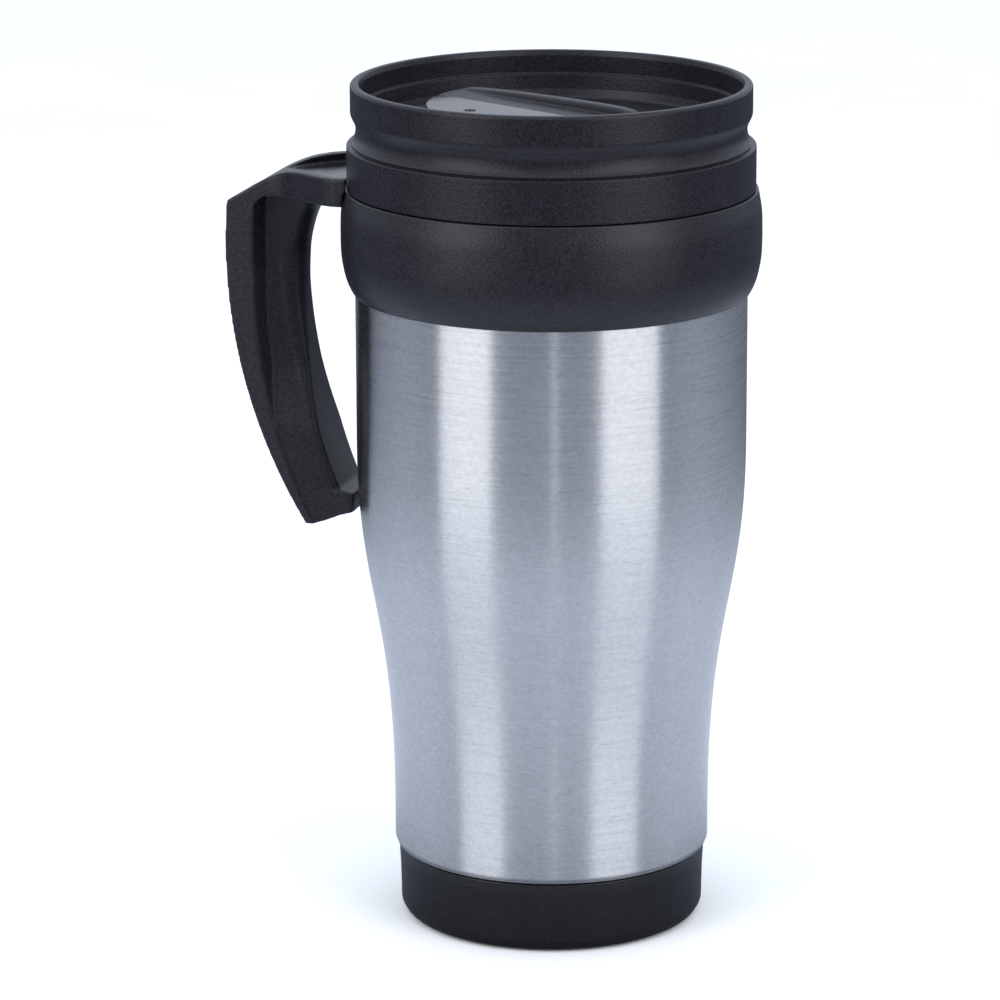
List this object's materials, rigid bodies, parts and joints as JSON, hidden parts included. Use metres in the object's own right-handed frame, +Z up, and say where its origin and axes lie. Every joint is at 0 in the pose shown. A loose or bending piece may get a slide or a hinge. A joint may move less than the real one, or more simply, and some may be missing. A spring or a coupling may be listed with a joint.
{
  "type": "insulated travel mug",
  "caption": "Steel-clad double-walled travel mug with an open-ended side handle, a screw-on lid and a turning half-round drink closure with a thumb rib.",
  "frame": {"origin": "centre of the underside that the mug stands on, on the mug's axis", "axes": "+Z up along the mug's axis; -X towards the handle; -Y towards the drink hole"},
  "size_m": [0.1105, 0.0864, 0.176],
  "materials": {
    "brushed_steel": "fine horizontal brushing, satin",
    "body_plastic": "black, fine spark-eroded grain",
    "liner_plastic": "black, smooth moulded",
    "lid_plastic": "black, fine spark-eroded grain",
    "closure_plastic": "black, satin moulded",
    "pad_rubber": "black, matte",
    "silicone": "dark grey silicone"
  },
  "bodies": {
    "mug": {"outer_shell": "brushed_steel", "inner_liner": "liner_plastic", "collar": "body_plastic", "handle": "body_plastic", "base_cap": "body_plastic", "base_pad": "pad_rubber"},
    "seal_ring": {"lid_gasket": "silicone"},
    "lid": {"lid_shell": "lid_plastic"},
    "closure": {"closure_disc": "closure_plastic", "closure_seal": "silicone", "retaining_washer": "closure_plastic"}
  },
  "joints": [
    {"name": "lid_rise", "type": "slide", "parent": "mug", "child": "seal_ring", "axis": [0, 0, 1], "range_m": [0, 0.00875]},
    {"name": "lid_turn", "type": "hinge", "parent": "seal_ring", "child": "lid", "pos_m": [0, 0, 0.1545], "axis": [0, 0, 1], "range_deg": [0, 630]},
    {"name": "closure_turn", "type": "hinge", "parent": "lid", "child": "closure", "pos_m": [0, 0, 0.166], "axis": [0, 0, 1], "range_deg": [-85, 0]}
  ],
  "couplings": [
    {"joint": "lid_rise", "follows": "lid_turn", "m_per_rad": 0.00079577}
  ]
}
